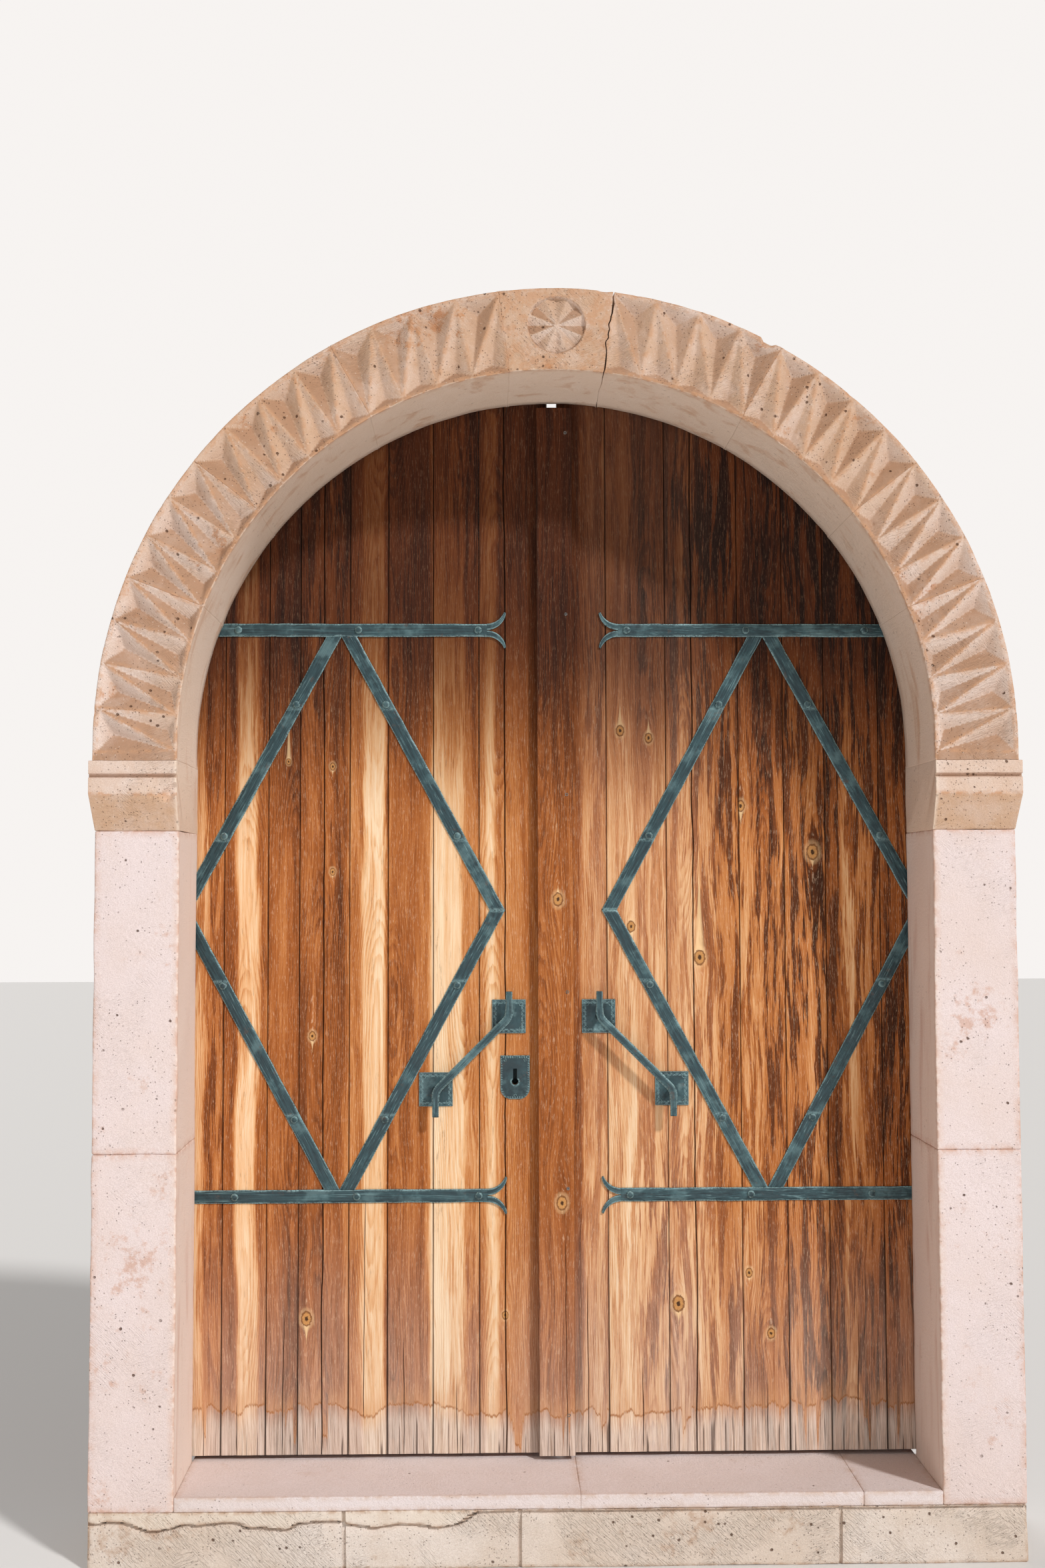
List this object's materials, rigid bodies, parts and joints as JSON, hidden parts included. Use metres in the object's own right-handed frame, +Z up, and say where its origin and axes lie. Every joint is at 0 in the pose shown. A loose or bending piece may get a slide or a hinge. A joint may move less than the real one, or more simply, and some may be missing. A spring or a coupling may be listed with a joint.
{
  "type": "wooden entrance gate",
  "caption": "Double-leaf board gate with forged straps, diamonds, pulls and a lock, hung behind a chip-carved round-arched stone portal; both leaves swing inwards.",
  "frame": {"origin": "centre of the underside of the stone footing", "axes": "+X to the right seen from the street, +Y into the building, +Z up; the front looks along -Y"},
  "size_m": [2.462, 0.4929, 3.36],
  "materials": {
    "carved_stone": "tooled porous tuff, warm cream to peach",
    "threshold_stone": "worn smooth, pinkish white",
    "footing_stone": "rough tooled tuff",
    "front_pine": "weathered stained pine, bleached at the foot",
    "ledge_pine": "weathered pine",
    "forged_iron": "hammered, dark slate paint worn at the edges",
    "bare_iron": "bare forged iron, dulled"
  },
  "bodies": {
    "portal": {"keystone": "carved_stone", "voussoir_left_1": "carved_stone", "voussoir_left_2": "carved_stone", "voussoir_left_3": "carved_stone", "voussoir_left_4": "carved_stone", "voussoir_right_1": "carved_stone", "voussoir_right_2": "carved_stone", "voussoir_right_3": "carved_stone", "voussoir_right_4": "carved_stone", "impost_left": "carved_stone", "impost_right": "carved_stone", "jamb_left_lower": "carved_stone", "jamb_left_upper": "carved_stone", "jamb_right_lower": "carved_stone", "jamb_right_upper": "carved_stone", "threshold_slab_1": "threshold_stone", "threshold_slab_2": "threshold_stone", "threshold_slab_3": "threshold_stone", "footing_course": "footing_stone", "pintles": "bare_iron"},
    "left_leaf": {"board_left_1": "front_pine", "board_left_2": "front_pine", "board_left_3": "front_pine", "board_left_4": "front_pine", "board_left_5": "front_pine", "board_left_6": "front_pine", "board_left_7": "front_pine", "board_left_8": "front_pine", "ledge_left_top": "ledge_pine", "ledge_left_middle": "ledge_pine", "ledge_left_bottom": "ledge_pine", "strap_left_top": "forged_iron", "strap_left_bottom": "forged_iron", "diamond_left_inner": "forged_iron", "diamond_left_outer": "forged_iron", "bolts_left": "forged_iron", "handle_left": "forged_iron", "escutcheon": "forged_iron", "lock_case": "forged_iron"},
    "right_leaf": {"board_right_1": "front_pine", "board_right_2": "front_pine", "board_right_3": "front_pine", "board_right_4": "front_pine", "board_right_5": "front_pine", "board_right_6": "front_pine", "board_right_7": "front_pine", "ledge_right_top": "ledge_pine", "ledge_right_middle": "ledge_pine", "ledge_right_bottom": "ledge_pine", "strap_right_top": "forged_iron", "strap_right_bottom": "forged_iron", "diamond_right_inner": "forged_iron", "diamond_right_outer": "forged_iron", "bolts_right": "forged_iron", "handle_right": "forged_iron", "cover_strip": "front_pine", "lock_keeper": "forged_iron", "shoot_bolt_guides": "forged_iron"},
    "lock_bolt": {"lock_bolt": "bare_iron"},
    "shoot_bolt": {"shoot_bolt": "bare_iron"}
  },
  "joints": [
    {"name": "left_leaf_hinge", "type": "hinge", "parent": "portal", "child": "left_leaf", "pos_m": [-1.105, 0.10308, 1.696], "axis": [0, 0, 1], "range_deg": [0, 95]},
    {"name": "right_leaf_hinge", "type": "hinge", "parent": "portal", "child": "right_leaf", "pos_m": [1.105, 0.10308, 1.696], "axis": [0, 0, -1], "range_deg": [0, 95]},
    {"name": "lock_bolt_slide", "type": "slide", "parent": "left_leaf", "child": "lock_bolt", "axis": [1, 0, 0], "range_m": [0, 0.06]},
    {"name": "shoot_bolt_slide", "type": "slide", "parent": "right_leaf", "child": "shoot_bolt", "axis": [0, 0, -1], "range_m": [0, 0.034]}
  ]
}
